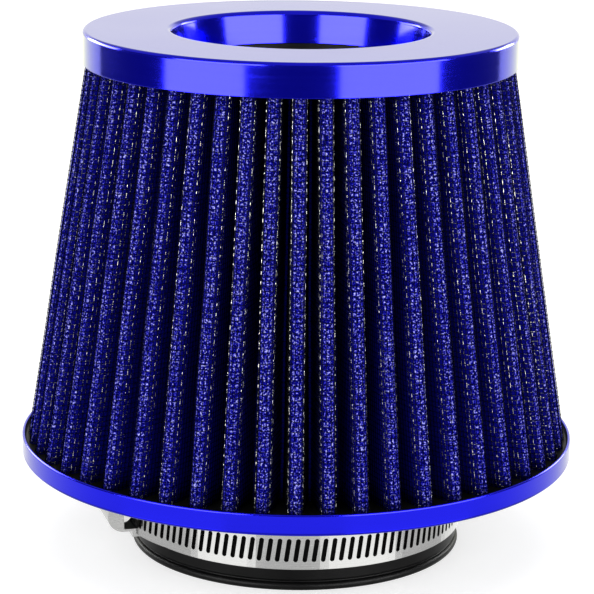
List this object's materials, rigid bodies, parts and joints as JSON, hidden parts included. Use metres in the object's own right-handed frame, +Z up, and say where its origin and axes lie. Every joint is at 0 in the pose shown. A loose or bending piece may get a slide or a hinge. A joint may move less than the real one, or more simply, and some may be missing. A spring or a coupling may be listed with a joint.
{
  "type": "cone air filter",
  "caption": "Tapered pleated engine air filter with a blue metal cap and base ring, a soft black neck and a worm-drive hose clamp.",
  "frame": {"origin": "centre of the neck's bottom lip, on which the filter stands", "axes": "+Z up along the filter's axis, from the neck towards the cap; -Y faces the picture's camera; the clamp's housing lies near -X"},
  "size_m": [0.15, 0.15, 0.1412],
  "materials": {
    "blue_metal": "bright blue anodised, mirror smooth",
    "black_moulding": "smooth moulded soft black, satin",
    "wire_mesh": "plain woven wire",
    "blue_gauze": "oiled cotton gauze",
    "clamp_steel": "bright rolled stainless steel"
  },
  "bodies": {
    "filter": {"top_cap": "blue_metal", "top_moulding": "black_moulding", "outer_mesh": "wire_mesh", "filter_gauze": "blue_gauze", "inner_mesh": "wire_mesh", "base_ring": "blue_metal", "base_moulding": "black_moulding", "clamp_band": "clamp_steel", "clamp_saddle": "clamp_steel", "clamp_housing": "clamp_steel"},
    "worm": {"clamp_screw": "clamp_steel"}
  },
  "joints": [
    {"name": "worm_turn", "type": "hinge", "parent": "filter", "child": "worm", "pos_m": [-0.04787, -0.01373, 0.01135], "axis": [-0.2756, 0.9613, 0], "continuous": true}
  ]
}
